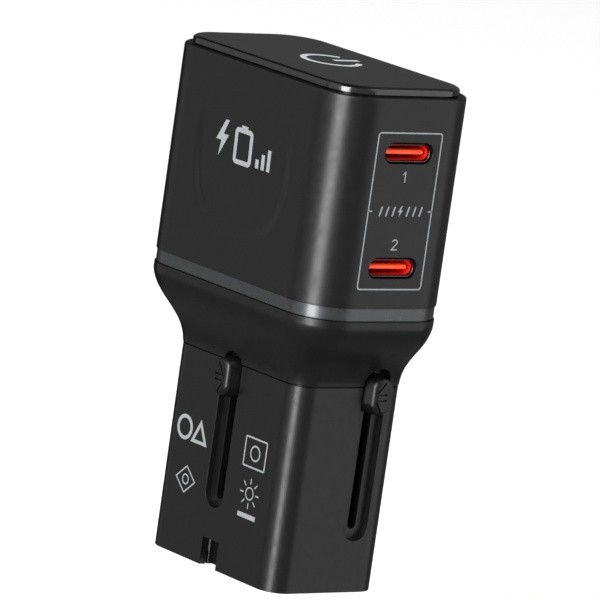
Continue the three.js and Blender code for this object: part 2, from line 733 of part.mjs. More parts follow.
function buildPowerStage() {
  const bulk = canCapacitor(BULK_CAPACITOR);
  const output = canCapacitor(OUTPUT_CAPACITOR);
  return group(
    piece('main_board', block(...MAIN_BOARD), 'board'),
    piece('bridge_rectifier', block(...BRIDGE_RECTIFIER), 'moulding'),
    piece('switch_chip', block(...SWITCH_CHIP), 'moulding'),
    piece('controller_chip', block(...CONTROLLER_CHIP), 'moulding'),
    piece('thermal_pad', block(...THERMAL_PAD), 'silicone'),
    piece('heat_spreader', block(...HEAT_SPREADER), 'aluminium'),
    piece('insulating_sheet', block(...INSULATING_SHEET), 'sheet'),
    piece('bulk_capacitor_front', bulk, 'can', BULK_CAPACITOR.frontPlace),
    piece('bulk_capacitor_back', bulk, 'can', BULK_CAPACITOR.backPlace),
    piece('output_capacitor_lower', output, 'aluminium', OUTPUT_CAPACITOR.lowerPlace),
    piece('output_capacitor_upper', output, 'aluminium', OUTPUT_CAPACITOR.upperPlace),
  );
}

const charger = new THREE.Group();
charger.add(
  buildCasing(),
  buildFrontSlider(),
  buildSideSlider(),
  buildStemInterior(),
  buildPorts(),
  buildTransformer(),
  buildInputStage(),
  buildPowerStage(),
);

export default charger;
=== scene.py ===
"""Looks of a travel wall charger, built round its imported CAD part.

Lengths are in millimetres until a mesh is made. Every mesh is in metres, in the frame of the CAD.
"""

import json
import math

import bmesh
import bpy
from mathutils import Matrix, Vector


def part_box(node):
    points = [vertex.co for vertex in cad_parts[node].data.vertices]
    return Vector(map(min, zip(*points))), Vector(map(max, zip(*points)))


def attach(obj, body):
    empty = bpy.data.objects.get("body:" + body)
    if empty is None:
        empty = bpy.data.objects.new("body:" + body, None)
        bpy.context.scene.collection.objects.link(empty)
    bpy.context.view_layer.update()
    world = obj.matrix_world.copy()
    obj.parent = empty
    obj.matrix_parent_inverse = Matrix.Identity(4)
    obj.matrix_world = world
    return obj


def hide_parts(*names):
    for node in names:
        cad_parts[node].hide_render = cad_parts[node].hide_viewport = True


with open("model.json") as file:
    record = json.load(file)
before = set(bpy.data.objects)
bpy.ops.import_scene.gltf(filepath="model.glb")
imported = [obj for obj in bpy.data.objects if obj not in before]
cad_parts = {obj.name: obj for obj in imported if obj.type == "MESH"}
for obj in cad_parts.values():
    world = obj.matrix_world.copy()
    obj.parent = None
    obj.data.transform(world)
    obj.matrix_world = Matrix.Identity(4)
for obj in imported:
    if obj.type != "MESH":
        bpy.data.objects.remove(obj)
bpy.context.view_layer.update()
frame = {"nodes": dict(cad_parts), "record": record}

MM = 0.001
GAP = 0.3  # between neighbouring pieces of the casing
SEAM_GAP = 0.2  # between the neck and the sleeve
CLEAR = 1.0  # how far a cutter runs past what it cuts
ARC_STEPS = 20  # facets in a quarter turn
LIP_STEPS = 5  # rings in a rounded edge
TURN_STEPS = 64  # facets round a turned piece

# Camera, rolled so that the upright object leans in the picture. Angles are in degrees.
CAMERA = {
    "azimuth": 51.389,
    "elevation": 10.222,
    "roll": 8.163,
    "lens": 420,
    "sensor": 36,
    "distance": 1093.75,
    "aim": (0.369, 1.346, 43.058),
}

# Stage. Azimuth 0 is in front and 90 on the port side, and lights are given in metres and watts.
FLOOR_DROP = 20.0  # from the end face down to the floor, below the pins when they are out
WORLD_STRENGTH = 0.72
LIGHT_AIM = (0.0, 0.0, 0.045)
LIGHTS = {  # azimuth, elevation, distance, width and height, power
    "corner": (24, 14, 1.0, (0.42, 1.3), 18),
    "left": (-60, 25, 1.2, (1.1, 2.4), 3.0),
    "fill": (-11, 20, 1.2, (1.0, 2.4), 3.5),
    "between": (72, 20, 1.2, (1.74, 2.4), 3.4),
    "right": (135, 20, 1.2, (1.3, 2.4), 9.0),
    "edge": (190, 20, 1.2, (1.2, 2.4), 1.1),
    "behind": (231, 12, 1.2, (0.9, 0.5), 0.13),
    "low": (0, -89, 1.1, (4.0, 4.0), 7.8),
}

# Dimensions that the boxes of the CAD nodes don't give.
HEAD_RADIUS = 7.5
HEAD_WALL = 1.6
HEAD_REACH = {"foot": 0.13, "top": 0.07}  # past the shell's CAD box, towards its neighbours
HEAD_PARTS = (96, 16)  # strips along the shell's long and short sides
HEAD_LEVELS = 100  # strips up the shell
STEM_RADIUS = 3.7
STEM_WALL = 1.2
LEAST_RADIUS = 0.8  # of the inner corners
RIM_ROUNDING = 0.4
FOOT_ROUNDING = 0.08
COVER_INSET = 1.2
COVER_LIFT = 1.12  # height of the cover's visible plate
COVER_EDGE = {"width": 1.0, "height": 0.5, "foot": 0.06}
COVER_EDGE_STEPS = 8
SKIRT_OVERLAP = 0.5  # of the cover's skirt with its plate
TONGUE_WALL = 1.2  # skirt, collar and spigot, each inside its neighbour
TONGUE_OVERLAP = 1.0  # of the collar and the spigot with the neck
SEAM_ROUNDING = 0.06
SHARP_SEAM = 0.04  # rounding of the edges between the shell and the band
LAP = {"inset": 0.5, "foot": 0.18, "top": 0.12}  # steps that close the neck's two seams
BAND_WALL = 1.4
BAND_REACH = {"foot": 0.16, "top": 0.15}  # past the band's CAD box
BAND_FOOT_ROUNDING = 0.05
NECK_WALL = 2.4
NECK_LEVELS = {"outside": 48, "inside": 24}
NECK_CURVE = {"shoulder": 43.8, "foot": 30.8, "upper": 1.36, "lower": 2.48}
DISH = {
    "half_width": 12.4, "low": 53.0, "middle": 68.0, "fade_low": 60.0, "fade_high": 74.0,
    "power": 3.0, "depth": 0.35, "edge": 0.13,
}

GROOVE_DEPTH = 1.1
GROOVE_LIP = 0.05
GROOVE_REACH = 8  # how far the groove's cutter stands out from the face
SLIT_WIDTH = 1.6
SLIT_REACH = {"out": 0.5, "in": 4}  # of the slit's cutter, from the groove's floor
PAD = {"width": 6.4, "depth": 2.1, "sunk": 0.5}
FRONT_TRACK = {"centre": -0.76, "width": 4.85, "low": 9.5, "high": 34.6, "slit": 10.8}
SIDE_TRACK = {"centre": 5.77, "width": 4.75, "low": 8.25, "high": 36.05, "slit": 10.0}
NOTCH = {
    "low": -2.2, "high": 2.0, "height": 4.5, "depth": 2.5, "side_wall": 1.8, "back_wall": 1.0,
    "boss": 6.0, "chamfer": 0.22,
}
END_PLATE = {"thickness": 2.2, "rounding": 0.1, "mouth_depth": 0.4}
BLADE_HOLE_FLARE = 0.7
PIN_HOLE = {"radius": 2.3, "flare": 0.4}
FLARE_RUN = 0.05  # how much wider a flare gets over the clearance below the face

KNOB = {
    "foot_width": 4.2, "foot_edge": 0.15, "draft": 0.25, "rounding": 0.7, "crown": 0.06,
    "softer_side": 0.5, "edge_height": 0.95, "edge_steps": 10,
    "stroke": 0.3, "stroke_depth": 0.35, "post_width": 0.85, "post_edge": 0.1,
}
CROWN_SHARES = (0.35, 0.7, 0.97)  # of the way from the crown's rim to its middle
GRIP_STROKES = (
    ((-0.63, 2.15), (0.61, 0.58)),
    ((-1.1, 0.35), (0.75, 0.35)),
    ((-1.1, -0.55), (0.45, -0.55)),
    ((0.6, -1.0), (-0.35, -2.6)),
)
POST_OVERLAP = 1.0  # of the post with the knob
FRONT_POST = (-1.6, 1.5)  # foot and top, from the knob's middle
SIDE_POST = (-2.2, 0.5)
BLADE = {
    "hole": 1.6, "hole_z": 11.6, "hole_reach": 5, "corner": 0.12,
    "tip": 0.3, "tip_thinner": 0.375, "tip_edge": 0.05,
    "nose": 1.2, "nose_inset": 0.02, "nose_edge": 0.15,
}
PIN = {"tip": 0.02, "nose": 1.4, "nose_steps": 10, "shoulder": 9.0, "core": 1.4, "edge": 0.1}
PIN_SLEEVE = {"bore": 1.65, "edge": 0.1}

PORT_PLAY = 0.4  # between a port's tube and the shell's cut-out, both sides together
PORT_LIP = 0.1
PORT_TUBE = {"wall": 0.25, "edge": 0.12, "shoulder": 0.04, "inner_shoulder": 0.2}
PORT_CUP = {"inset": 0.28, "depth": 0.45, "crest": 0.05, "edge": 0.08, "wall": 0.12}
TONGUE = {"shoulder": 0.06, "shoulder_depth": 0.1, "tip": 0.2, "tip_depth": 0.25}
CONTACTS = {"per_side": 12, "pitch": 0.5, "length": 2.6, "width": 0.25, "height": 0.05}
CONTACT_SETBACK = 2.0  # from the tongue's tip to the contacts' middle


def extent(node):
    """Lowest and highest corner of a CAD node, in millimetres."""
    low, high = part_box(node)
    return Vector(low) / MM, Vector(high) / MM


head_low, head_high = extent("head_shell")
band_low, band_high = extent("accent_band")
neck_low, neck_high = extent("neck_housing")
stem_low, stem_high = extent("stem_sleeve")
cover_low, cover_high = extent("top_cover")

HEAD_SIZE = head_high - head_low
STEM_SIZE = stem_high - stem_low
STEM_CENTRE_Y = (stem_low.y + stem_high.y) / 2
NECK_FOOT_Z = stem_high.z + SEAM_GAP
NECK_TOP_Z = band_low.z - GAP


# Meshes.
def as_object(name, mesh):
    """An object in the scene from a bmesh, with doubles merged and faces turned outwards."""
    bmesh.ops.remove_doubles(mesh, verts=mesh.verts, dist=1e-7)
    bmesh.ops.recalc_face_normals(mesh, faces=mesh.faces)
    data = bpy.data.meshes.new(name)
    mesh.to_mesh(data)
    mesh.free()
    made = bpy.data.objects.new(name, data)
    bpy.context.scene.collection.objects.link(made)
    return made


def apply_modifiers(target):
    graph = bpy.context.evaluated_depsgraph_get()
    data = bpy.data.meshes.new_from_object(target.evaluated_get(graph))
    target.modifiers.clear()
    target.data = data


def combine(target, tool, operation="DIFFERENCE"):
    """Cuts tool from target, or joins the two, and removes the tool."""
    modifier = target.modifiers.new(operation, "BOOLEAN")
    modifier.operation = operation
    modifier.solver = "EXACT"
    modifier.object = tool
    apply_modifiers(target)
    bpy.data.objects.remove(tool)
    return target


def rounded(width, height, radius, centre=(0.0, 0.0), sides=(1, 1), steps=ARC_STEPS):
    """Points of a rounded rectangle, anticlockwise. sides says into how many parts its sides go."""
    half_w, half_h = width / 2 - radius, height / 2 - radius
    points = []
    for quarter, (x, y) in enumerate(((1, -1), (1, 1), (-1, 1), (-1, -1))):
        for step in range(steps + 1):
            angle = (quarter - 1 + step / steps) * math.pi / 2
            points.append((
                centre[0] + x * half_w + radius * math.cos(angle),
                centre[1] + y * half_h + radius * math.sin(angle),
            ))
        length = (half_h if quarter % 2 == 0 else half_w) * 2
        parts = sides[1 - quarter % 2]
        end_x, end_y = points[-1]
        along = ((0, 1), (-1, 0), (0, -1), (1, 0))[quarter]
        for part in range(1, parts):
            shift = length * part / parts
            points.append((end_x + along[0] * shift, end_y + along[1] * shift))
    return points


def on_axis(axis, points, place):
    """Outline points in the plane across an axis, as points in space at that place on the axis."""
    if axis == "x":
        return [(place, a, b) for a, b in points]
    if axis == "y":
        return [(a, place, b) for a, b in points]
    return [(a, b, place) for a, b in points]


def loft(name, rings, loop=False):
    """A closed mesh through rings of equal point counts. loop joins the last ring to the first."""
    mesh = bmesh.new()
    rows = [[mesh.verts.new(Vector(point) * MM) for point in ring] for ring in rings]
    pairs = list(zip(rows, rows[1:]))
    if loop:
        pairs.append((rows[-1], rows[0]))
    else:
        mesh.faces.new(rows[0])
        mesh.faces.new(rows[-1])
    for low, high in pairs:
        for i, corner in enumerate(low):
            j = (i + 1) % len(low)
            mesh.faces.new((corner, low[j], high[j], high[i]))
    return as_object(name, mesh)


def box(name, low, high, bevel=0.0):
    """A block with bevelled edges."""
    mesh = bmesh.new()
    bmesh.ops.create_cube(mesh, size=MM)
    low, high = Vector(low), Vector(high)
    for vert in mesh.verts:
        share = vert.co / MM + Vector((0.5, 0.5, 0.5))
        vert.co = Vector(low[i] + (high[i] - low[i]) * share[i] for i in range(3)) * MM
    if bevel:
        bmesh.ops.bevel(
            mesh, geom=mesh.edges, offset=bevel * MM, segments=3, profile=0.5, affect="EDGES"
        )
    return as_object(name, mesh)


def turned(name, profile, centre=(0.0, 0.0), loop=False):
    """A profile of (radius, z) pairs turned about a vertical axis, as a solid or, looped, a tube."""
    rings = []
    for radius, z in profile:
        ring = []
        for step in range(TURN_STEPS):
            angle = 2 * math.pi * step / TURN_STEPS
            ring.append((
                centre[0] + radius * math.cos(angle), centre[1] + radius * math.sin(angle), z
            ))
        rings.append(ring)
    return loft(name, rings, loop)


def quarter_round(radius, steps=LIP_STEPS):
    """Pairs of inset and depth below the crest, along a rounded edge from its side to its top."""
    pairs = []
    for step in range(steps + 1):
        angle = step / steps * math.pi / 2
        pairs.append((radius * (1 - math.cos(angle)), radius * (1 - math.sin(angle))))
    return pairs


def wall_profile(low, high, low_rounding, high_rounding, parts=1):
    """Pairs of inset and z up the outside of a wall with rounded edges."""
    foot = [(inset, low + drop) for inset, drop in reversed(quarter_round(low_rounding))]
    crest = [(inset, high - drop) for inset, drop in quarter_round(high_rounding)]
    start, end = foot[-1][1], crest[0][1]
    middle = [(0.0, start + (end - start) * part / parts) for part in range(1, parts)]
    return foot + middle + crest


# Outlines of the casing.
def head_outline(inset, sides=(1, 1)):
    return rounded(
        HEAD_SIZE.x - 2 * inset, HEAD_SIZE.y - 2 * inset, HEAD_RADIUS - inset, sides=sides
    )


def stem_outline(inset):
    radius = max(STEM_RADIUS - inset, LEAST_RADIUS)
    width, depth = STEM_SIZE.x - 2 * inset, STEM_SIZE.y - 2 * inset
    return rounded(width, depth, radius, (0.0, STEM_CENTRE_Y))


def neck_outline(z, inset):
    """Outline on the neck's S-curve, which runs from the head's outline to the stem's."""
    down = (NECK_CURVE["shoulder"] - z) / (NECK_CURVE["shoulder"] - NECK_CURVE["foot"])
    down = min(max(down, 0.0), 1.0)
    upper = down ** NECK_CURVE["upper"]
    share = upper / (upper + (1 - down) ** NECK_CURVE["lower"])
    width = HEAD_SIZE.x + (STEM_SIZE.x - HEAD_SIZE.x) * share - 2 * inset
    depth = HEAD_SIZE.y + (STEM_SIZE.y - HEAD_SIZE.y) * share - 2 * inset
    radius = max(HEAD_RADIUS + (STEM_RADIUS - HEAD_RADIUS) * share - inset, LEAST_RADIUS)
    return rounded(width, depth, radius, (0.0, STEM_CENTRE_Y * share))


def eased(share):
    """Smooth step from 0 to 1."""
    share = min(max(share, 0.0), 1.0)
    return share * share * (3 - 2 * share)


def dish_depth(x, z):
    """How far the shallow dish on the head's front lies below its face."""
    across = abs(x) / DISH["half_width"]
    down = max(DISH["middle"] - z, 0.0) / (DISH["middle"] - DISH["low"])
    reach = (across ** DISH["power"] + down ** DISH["power"]) ** (1 / DISH["power"])
    fade = (DISH["fade_high"] - z) / (DISH["fade_high"] - DISH["fade_low"])
    return DISH["depth"] * eased((1 - reach) / DISH["edge"]) * eased(fade)


# Cutters for the tracks, shared by the sleeve and the neck.
def stadium(middle, width, low, high):
    """Outline of an upright slot with round ends."""
    return rounded(width, high - low, width / 2, (middle, (low + high) / 2))


def track_cutter(axis, track):
    """Groove with a rounded lip at the face, and the slit through its floor."""
    outward, face = (-1, stem_low.y) if axis == "y" else (1, stem_high.x)
    floor = face - outward * GROOVE_DEPTH
    places = [(0.0, floor)]
    for inset, drop in quarter_round(GROOVE_LIP):
        places.append((inset, face - outward * drop))
    places.append((GROOVE_LIP, face + outward * GROOVE_REACH))
    rings = []
    for grow, place in places:
        width = track["width"] + 2 * grow
        outline = stadium(track["centre"], width, track["low"] - grow, track["high"] + grow)
        rings.append(on_axis(axis, outline, place))
    groove = loft("groove", rings)
    slit_top = NECK_FOOT_Z + GAP / 2
    outline = stadium(track["centre"], SLIT_WIDTH, track["slit"], slit_top)
    slit = loft("slit", [
        on_axis(axis, outline, floor + outward * SLIT_REACH["out"]),
        on_axis(axis, outline, floor - outward * SLIT_REACH["in"]),
    ])
    return combine(groove, slit, "UNION")


def pads(margin, low, high):
    """Thickened wall behind each track, larger all round by margin."""
    half = PAD["width"] / 2 + margin
    depth = PAD["depth"] + margin
    front = box(
        "pad",
        (FRONT_TRACK["centre"] - half, stem_low.y + PAD["sunk"], low),
        (FRONT_TRACK["centre"] + half, stem_low.y + depth, high),
    )
    side = box(
        "pad",
        (stem_high.x - depth, SIDE_TRACK["centre"] - half, low),
        (stem_high.x - PAD["sunk"], SIDE_TRACK["centre"] + half, high),
    )
    return front, side


# Materials.
CLOUD_SIZE = 6.0  # of the slow mottling in a surface's colour
HAZE_SIZE = 1.3  # of the patches in its gloss
NOISE_SPAN = (0.3, 0.7)  # the part of the noise's range that is spread over the whole effect
COAT_ROUGHNESS = 0.12
BRUSHED_STRETCH = 0.04  # of the texture along drawn lines
SHARP_ANGLE = 34  # degrees


def linear(level):
    """Linear value of an sRGB grey level from 0 to 255."""
    share = level / 255
    return share / 12.92 if share <= 0.04045 else ((share + 0.055) / 1.055) ** 2.4


def colour(red, green, blue):
    return (linear(red), linear(green), linear(blue), 1.0)


def surface(name, base, roughness, metallic=0.0, specular=0.5, grain=None, mottle=0.08,
            spread=0.05, coat=0.0, brushed=None):
    """A moulded or metal finish: base colour with slow mottling, uneven gloss and a fine grain.

    grain is (size, height) of the texture in millimetres. brushed is the axis of drawn lines.
    """
    made = bpy.data.materials.new(name)
    made.use_nodes = True
    nodes, links = made.node_tree.nodes, made.node_tree.links
    shader = nodes["Principled BSDF"]
    shader.inputs["Metallic"].default_value = metallic
    shader.inputs["Specular IOR Level"].default_value = specular
    shader.inputs["Coat Weight"].default_value = coat
    shader.inputs["Coat Roughness"].default_value = COAT_ROUGHNESS

    place = nodes.new("ShaderNodeTexCoord")
    stretch = nodes.new("ShaderNodeMapping")
    if brushed is not None:
        scale = [1.0, 1.0, 1.0]
        scale[brushed] = BRUSHED_STRETCH
        stretch.inputs["Scale"].default_value = scale
    links.new(place.outputs["Object"], stretch.inputs["Vector"])

    def noise(size_mm, detail):
        made_noise = nodes.new("ShaderNodeTexNoise")
        made_noise.inputs["Scale"].default_value = 1 / (size_mm * MM)
        made_noise.inputs["Detail"].default_value = detail
        links.new(stretch.outputs["Vector"], made_noise.inputs["Vector"])
        return made_noise

    cloud = noise(CLOUD_SIZE, 3.0)
    ramp = nodes.new("ShaderNodeValToRGB")
    for stop, position, share in zip(ramp.color_ramp.elements, NOISE_SPAN, (-mottle, mottle)):
        stop.position = position
        stop.color = [c * (1 + share) for c in base[:3]] + [1.0]
    links.new(cloud.outputs["Fac"], ramp.inputs["Fac"])
    links.new(ramp.outputs["Color"], shader.inputs["Base Color"])

    haze = noise(HAZE_SIZE, 4.0)
    level = nodes.new("ShaderNodeMapRange")
    level.inputs["From Min"].default_value = NOISE_SPAN[0]
    level.inputs["From Max"].default_value = NOISE_SPAN[1]
    level.inputs["To Min"].default_value = roughness - spread
    level.inputs["To Max"].default_value = roughness + spread
    links.new(haze.outputs["Fac"], level.inputs["Value"])
    links.new(level.outputs["Result"], shader.inputs["Roughness"])

    if grain:
        size, height = grain
        texture = noise(size, 2.0)
        bump = nodes.new("ShaderNodeBump")
        bump.inputs["Strength"].default_value = 1.0
        bump.inputs["Distance"].default_value = height * MM
        links.new(texture.outputs["Fac"], bump.inputs["Height"])
        links.new(bump.outputs["Normal"], shader.inputs["Normal"])
    return made


FINISH = {
    "casing_black": surface(
        "casing_black", colour(10, 10, 10.5), 0.34, specular=0.5, grain=(0.22, 0.004)
    ),
    "cover_gloss": surface(
        "cover_gloss", colour(15, 15, 15.5), 0.16, specular=0.95, coat=0.25, spread=0.02, mottle=0.03
    ),
    "accent_grey": surface(
        "accent_grey", colour(92, 93, 94), 0.3, metallic=0.9, grain=(0.25, 0.001), mottle=0.03
    ),
    "knob_black": surface(
        "knob_black", colour(9, 9, 9.5), 0.35, specular=0.5, grain=(0.18, 0.003)
    ),
    # Near-black inner moulding. It is black plastic, and it is also darkened as painted shade where
    # it shows through the slits in the sleeve.
    "inner_plastic": surface(
        "inner_plastic", colour(12, 12, 12.5), 0.6, specular=0.3, grain=(0.3, 0.01)
    ),
    "plated_contact": surface(
        "plated_contact", colour(222, 217, 205), 0.22, metallic=1.0, grain=(0.3, 0.002), brushed=2
    ),
    "bronze_strip": surface(
        "bronze_strip", colour(196, 142, 88), 0.32, metallic=1.0, grain=(0.3, 0.003), brushed=2
    ),
    "spring_steel": surface(
        "spring_steel", colour(198, 200, 204), 0.3, metallic=1.0, grain=(0.3, 0.003), brushed=2
    ),
    "port_steel": surface(
        "port_steel", colour(92, 93, 95), 0.3, metallic=1.0, grain=(0.25, 0.002), brushed=0
    ),
    "tongue_orange": surface(
        "tongue_orange", colour(255, 74, 22), 0.38, grain=(0.12, 0.002), mottle=0.12
    ),
    "circuit_board": surface(
        "circuit_board", colour(34, 92, 54), 0.42, grain=(0.4, 0.01), mottle=0.2, coat=0.3
    ),
    "ferrite": surface(
        "ferrite", colour(52, 52, 55), 0.72, grain=(0.25, 0.03), mottle=0.2
    ),
    "winding_tape": surface(
        "winding_tape", colour(226, 184, 52), 0.42, grain=(1.2, 0.03), mottle=0.12, coat=0.2
    ),
    "chip_black": surface(
        "chip_black", colour(24, 25, 27), 0.6, grain=(0.15, 0.01)
    ),
    "capacitor_can": surface(
        "capacitor_can", colour(40, 54, 104), 0.3, grain=(0.8, 0.006), coat=0.3
    ),
    "safety_blue": surface(
        "safety_blue", colour(62, 112, 182), 0.45, grain=(0.8, 0.03), coat=0.2
    ),
    "thermal_silicone": surface(
        "thermal_silicone", colour(146, 166, 180), 0.85, grain=(0.5, 0.03), mottle=0.1
    ),
    "spreader_aluminium": surface(
        "spreader_aluminium", colour(214, 216, 219), 0.4, metallic=1.0, grain=(0.3, 0.006),
        brushed=2
    ),
    "insulating_film": surface(
        "insulating_film", colour(232, 228, 212), 0.45, grain=(1.5, 0.02), mottle=0.04
    ),
    "wire_red": surface(
        "wire_red", colour(184, 44, 38), 0.45, grain=(0.6, 0.01)
    ),
}
INK = surface("printed_grey", colour(122, 123, 125), 0.5, grain=(0.1, 0.002), mottle=0.04)
COVER_INK = surface("printed_silver", colour(196, 197, 199), 0.4, grain=(0.1, 0.002), mottle=0.04)
GOLD = surface("gold_contact", colour(232, 186, 96), 0.28, metallic=1.0, grain=(0.2, 0.002))
PORT_RED = surface(
    "port_red", colour(178, 15, 6), 0.5, specular=0.25, grain=(0.25, 0.02), mottle=0.35
)

for part in frame["record"]["subparts"]:
    node = frame["nodes"][part["node"]]
    node.data.materials.clear()
    node.data.materials.append(FINISH[part["material_slot"]])


def place(obj, body, nodes, slot, material=None):
    """Gives a finished mesh its shading, finish, body and the CAD nodes it stands for."""
    data = obj.data
    data.materials.clear()
    data.materials.append(material or FINISH[slot])
    data.polygons.foreach_set("use_smooth", [True] * len(data.polygons))
    data.set_sharp_from_angle(angle=math.radians(SHARP_ANGLE))
    modifier = obj.modifiers.new("normals", "WEIGHTED_NORMAL")
    modifier.keep_sharp = True
    modifier.weight = 90
    apply_modifiers(obj)
    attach(obj, body)
    if nodes:
        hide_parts(*nodes)


# Casing.
def tongue_ring(name, outline, inset, start, end):
    """A wall inside a neighbour's outline, from one height to another."""
    profile = [
        (inset, start), (inset, end), (inset + TONGUE_WALL, end), (inset + TONGUE_WALL, start),
    ]
    return loft(name, [on_axis("z", outline(step), z) for step, z in profile], loop=True)


def make_cover():
    low, high = cover_high.z - COVER_LIFT, cover_high.z
    foot = COVER_EDGE["foot"]
    profile = [(COVER_INSET + foot, low), (COVER_INSET, low + foot)]
    for across, drop in quarter_round(1.0, COVER_EDGE_STEPS):
        inset = COVER_INSET + across * COVER_EDGE["width"]
        profile.append((inset, high - drop * COVER_EDGE["height"]))
    plate = loft("top_plate", [on_axis("z", head_outline(inset), z) for inset, z in profile])
    skirt = tongue_ring("skirt", head_outline, HEAD_WALL + GAP, low + SKIRT_OVERLAP, cover_low.z)
    combine(plate, skirt, "UNION")
    place(plate, "root", ["top_cover"], "cover_gloss")


def port_mouth(node, grow, place_x):
    """Outline of a port's cut-out in the shell, larger all round by grow."""
    low, high = extent(node)
    width, height = (size + PORT_PLAY + 2 * grow for size in (high.y - low.y, high.z - low.z))
    centre = ((low.y + high.y) / 2, (low.z + high.z) / 2)
    return on_axis("x", rounded(width, height, height / 2, centre), place_x)


def make_head():
    low, high = head_low.z - HEAD_REACH["foot"], head_high.z + HEAD_REACH["top"]
    profile = wall_profile(low, high, SHARP_SEAM, RIM_ROUNDING, HEAD_LEVELS)
    profile += [(HEAD_WALL, high), (HEAD_WALL, low)]
    rings = []
    for inset, z in profile:
        ring = []
        for x, y, height in on_axis("z", head_outline(inset, HEAD_PARTS), z):
            if inset == 0.0 and abs(y - head_low.y) < 1e-6:
                y += dish_depth(x, height)
            ring.append((x, y, height))
        rings.append(ring)
    shell = loft("head_casing", rings, loop=True)
    face = head_high.x
    for node in ("port_shell_lower", "port_shell_upper"):
        rings = [port_mouth(node, 0.0, face - 2 * HEAD_WALL)]
        for inset, drop in quarter_round(PORT_LIP):
            rings.append(port_mouth(node, inset, face - drop))
        rings.append(port_mouth(node, PORT_LIP, face + CLEAR))
        combine(shell, loft("mouth", rings))
    place(shell, "root", ["head_shell"], "casing_black")


def make_band():
    inset = (HEAD_SIZE.x - (band_high.x - band_low.x)) / 2
    low, high = band_low.z - BAND_REACH["foot"], band_high.z + BAND_REACH["top"]
    profile = wall_profile(low, high, BAND_FOOT_ROUNDING, SHARP_SEAM)
    profile += [(BAND_WALL, high), (BAND_WALL, low)]
    rings = [on_axis("z", head_outline(inset + step), z) for step, z in profile]
    band = loft("accent_ring", rings, loop=True)
    place(band, "root", ["accent_band"], "accent_grey")


def lap_step(edge_z, step_z):
    """Rings of a step that runs from the neck's edge into a seam, inside the outer wall."""
    outline = neck_outline(edge_z, LAP["inset"])
    inner = neck_outline(edge_z, NECK_WALL)
    return [on_axis("z", outline, edge_z), on_axis("z", outline, step_z),
            on_axis("z", inner, step_z)]


def make_neck():
    levels = NECK_LEVELS["outside"]
    profile = wall_profile(NECK_FOOT_Z, NECK_TOP_Z, SEAM_ROUNDING, SEAM_ROUNDING, levels)
    rings = [on_axis("z", neck_outline(z, inset), z) for inset, z in profile]
    rings += lap_step(NECK_TOP_Z, NECK_TOP_Z + LAP["top"])
    levels = NECK_LEVELS["inside"]
    for step in range(levels + 1):
        z = NECK_TOP_Z + (NECK_FOOT_Z - NECK_TOP_Z) * step / levels
        rings.append(on_axis("z", neck_outline(z, NECK_WALL), z))
    rings += reversed(lap_step(NECK_FOOT_Z, NECK_FOOT_Z - LAP["foot"]))
    neck = loft("neck_flare", rings, loop=True)
    collar_foot = NECK_TOP_Z - TONGUE_OVERLAP
    collar = tongue_ring("collar", head_outline, HEAD_WALL + GAP, collar_foot, neck_high.z)
    combine(neck, collar, "UNION")
    spigot_top = NECK_FOOT_Z + TONGUE_OVERLAP
    spigot = tongue_ring("spigot", stem_outline, STEM_WALL + GAP, neck_low.z, spigot_top)
    for pad in pads(GAP, neck_low.z - CLEAR, NECK_FOOT_Z):
        combine(spigot, pad)
    combine(neck, spigot, "UNION")
    for axis, track in (("y", FRONT_TRACK), ("x", SIDE_TRACK)):
        combine(neck, track_cutter(axis, track))
    place(neck, "root", ["neck_housing"], "casing_black")


def notch_cutter():
    low = (NOTCH["low"], stem_low.y - CLEAR, -CLEAR)
    high = (NOTCH["high"], stem_low.y + NOTCH["depth"], NOTCH["height"])
    return box("notch", low, high)


def make_sleeve():
    profile = wall_profile(stem_low.z, stem_high.z, FOOT_ROUNDING, SEAM_ROUNDING)
    rings = [on_axis("z", stem_outline(inset), z) for inset, z in profile]
    sleeve = loft("stem_casing", rings)
    inside = stem_outline(STEM_WALL)
    ends = (stem_low.z - CLEAR, stem_high.z + CLEAR)
    cavity = loft("cavity", [on_axis("z", inside, z) for z in ends])
    for pad in pads(0.0, SIDE_TRACK["low"] - CLEAR, stem_high.z + 2 * CLEAR):
        combine(cavity, pad)
    combine(sleeve, cavity)
    for axis, track in (("y", FRONT_TRACK), ("x", SIDE_TRACK)):
        combine(sleeve, track_cutter(axis, track))
    combine(sleeve, notch_cutter())
    place(sleeve, "root", ["stem_sleeve"], "casing_black")


def cut_blade_hole(plate, side, top):
    """A flared rectangular hole for a blade."""
    low, high = extent(f"blade_{side}")
    centre = ((low.x + high.x) / 2, (low.y + high.y) / 2)
    rings = []
    for grow, z in (
        (BLADE_HOLE_FLARE + FLARE_RUN, -CLEAR), (BLADE_HOLE_FLARE, 0.0),
        (GAP, END_PLATE["mouth_depth"]), (GAP, top + CLEAR),
    ):
        width, depth = high.x - low.x + 2 * grow, high.y - low.y + 2 * grow
        rings.append(on_axis("z", rounded(width, depth, GAP, centre, steps=6), z))
    combine(plate, loft("blade_hole", rings))


def cut_pin_hole(plate, side, top):
    """A flared round hole for a pin."""
    low, high = extent(f"pin_{side}")
    centre = ((low.x + high.x) / 2, (low.y + high.y) / 2)
    radius, flare = PIN_HOLE["radius"], PIN_HOLE["flare"]
    profile = [
        (radius + flare + FLARE_RUN, -CLEAR), (radius + flare, 0.0),
        (radius, END_PLATE["mouth_depth"]), (radius, top + CLEAR),
    ]
    combine(plate, turned("pin_hole", profile, centre))


